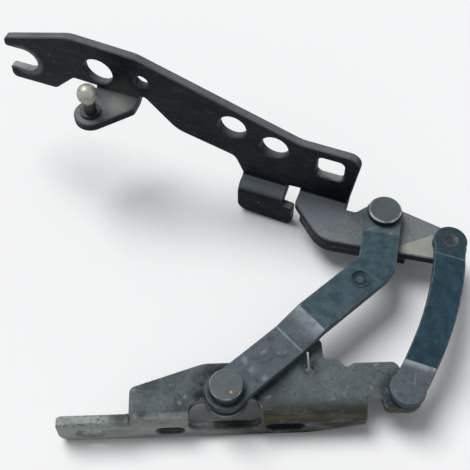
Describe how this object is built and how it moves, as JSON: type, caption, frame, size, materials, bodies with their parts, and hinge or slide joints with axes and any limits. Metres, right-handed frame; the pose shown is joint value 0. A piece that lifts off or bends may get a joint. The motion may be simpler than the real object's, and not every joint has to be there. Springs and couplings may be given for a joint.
{
  "type": "bonnet hinge",
  "caption": "Four-bar bonnet hinge of pressed steel: a body bracket and a long bonnet bracket with a ball stud, joined by two riveted links.",
  "frame": {"origin": "in the outer face of the body flange, midway between its two left bolt slots and at their height", "axes": "+X along the body flange towards the rear foot, +Y from the body flange into the hinge, +Z along the pivot axes towards the rivet heads"},
  "size_m": [0.2198, 0.1821, 0.0823],
  "materials": {
    "bracket_paint": "worn black dip paint, dusty and scuffed",
    "link_paint": "worn blue-black dip paint, rubbed grey at the ends",
    "worn_zinc": "dull worn zinc plate with pits",
    "bearing_bronze": "dull bearing bronze"
  },
  "bodies": {
    "body_bracket": {"lower_bracket": "bracket_paint", "front_lower_rivet": "link_paint", "front_lower_washer": "bearing_bronze", "rear_lower_bush": "bearing_bronze"},
    "front_link": {"front_link": "link_paint", "front_lower_bush": "bearing_bronze", "front_upper_bush": "bearing_bronze"},
    "bonnet_bracket": {"upper_bracket": "bracket_paint", "ball_stud": "worn_zinc", "front_upper_rivet": "link_paint", "front_upper_washer": "bearing_bronze", "rear_upper_bush": "bearing_bronze", "rear_upper_washer": "bearing_bronze"},
    "rear_link": {"rear_link": "link_paint", "rear_upper_rivet": "link_paint", "rear_lower_rivet": "link_paint", "rear_lower_washer": "bearing_bronze"}
  },
  "joints": [
    {"name": "front_fold", "type": "hinge", "parent": "body_bracket", "child": "front_link", "pos_m": [0.04175, 0.0115, 0.013], "axis": [0, 0, 1], "range_deg": [-24, 4]},
    {"name": "bonnet_fold", "type": "hinge", "parent": "front_link", "child": "bonnet_bracket", "pos_m": [0.12045, 0.0994, 0.013], "axis": [0, 0, 1], "range_deg": [-8.2, 48.6]},
    {"name": "rear_fold", "type": "hinge", "parent": "bonnet_bracket", "child": "rear_link", "pos_m": [0.14968, 0.08296, 0.013], "axis": [0, 0, 1], "range_deg": [-56.3, 9.5]}
  ],
  "couplings": [
    {"joint": "bonnet_fold", "follows": "front_fold", "ratio": -2.02},
    {"joint": "rear_fold", "follows": "front_fold", "ratio": 2.34}
  ]
}
